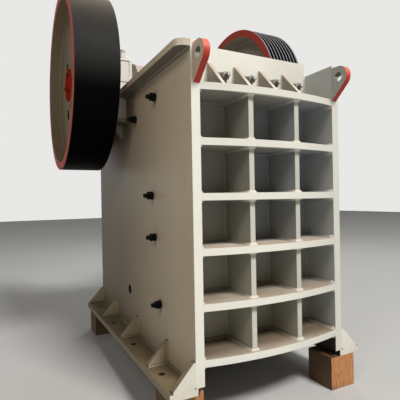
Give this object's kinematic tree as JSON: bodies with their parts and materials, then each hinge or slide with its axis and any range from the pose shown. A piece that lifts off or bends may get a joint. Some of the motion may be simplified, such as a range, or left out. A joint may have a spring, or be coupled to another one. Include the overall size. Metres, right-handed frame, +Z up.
{
  "type": "jaw crusher",
  "caption": "Jaw crusher with a welded box frame, arched ribbed front, corrugated jaw plates, flywheel and grooved belt wheel, on timber blocks.",
  "frame": {"origin": "floor level, under the middle of the whole machine", "axes": "+Z up, -Y is the ribbed front, +X is the belt wheel side"},
  "size_m": [2.362, 2.811, 3.494],
  "materials": {
    "timber": "sawn softwood, weathered and oiled",
    "cream_paint": "warm cream-grey machine enamel, semi-matt",
    "lug_paint": "grey enamel with an orange-red edge",
    "bolt_steel": "oiled and lightly rusted steel",
    "black_nuts": "black oxide",
    "grey_paint": "grey primer over cast steel",
    "manganese_steel": "cast manganese steel",
    "machined_steel": "turned steel",
    "rim_black": "satin black on turned cast iron, orange-red rim faces",
    "orange_paint": "orange-red enamel"
  },
  "bodies": {
    "root": {"timber_blocks": "timber", "foot_plate_left": "cream_paint", "foot_plate_right": "cream_paint", "foot_gussets_left": "cream_paint", "foot_gussets_right": "cream_paint", "side_plate_left": "cream_paint", "side_plate_right": "cream_paint", "top_flange_left": "cream_paint", "top_flange_right": "cream_paint", "front_wall": "cream_paint", "front_shelves": "cream_paint", "front_ribs": "cream_paint", "apron_gussets": "cream_paint", "bearing_seat_left": "cream_paint", "bearing_seat_right": "cream_paint", "bearing_housing_left": "cream_paint", "bearing_housing_right": "cream_paint", "bearing_cap_left": "cream_paint", "bearing_cap_right": "cream_paint", "toggle_beam": "cream_paint", "rear_wall": "cream_paint", "rear_shelves": "cream_paint", "rear_ribs": "cream_paint", "lifting_lug_left": "lug_paint", "lifting_lug_right": "lug_paint", "jaw_bolts": "bolt_steel", "cheek_bolts_left": "black_nuts", "cheek_bolts_right": "black_nuts", "cap_bolts": "cream_paint", "swing_jaw": "grey_paint", "toggle_seats": "grey_paint", "bearing_cover_left": "grey_paint", "bearing_cover_right": "grey_paint", "fixed_jaw_plate": "manganese_steel", "swing_jaw_plate": "manganese_steel", "cheek_plate_left": "manganese_steel", "cheek_plate_right": "manganese_steel", "toggle_plate": "machined_steel", "tension_rod": "machined_steel", "tension_spring": "orange_paint"},
    "rotor": {"eccentric_shaft": "machined_steel", "flywheel": "rim_black", "belt_wheel": "rim_black", "hub_cover_left": "orange_paint", "hub_cover_right": "orange_paint"}
  },
  "joints": [
    {"name": "shaft_turn", "type": "hinge", "parent": "root", "child": "rotor", "pos_m": [0, 0.5645, 2.653], "axis": [1, 0, 0], "continuous": true}
  ]
}
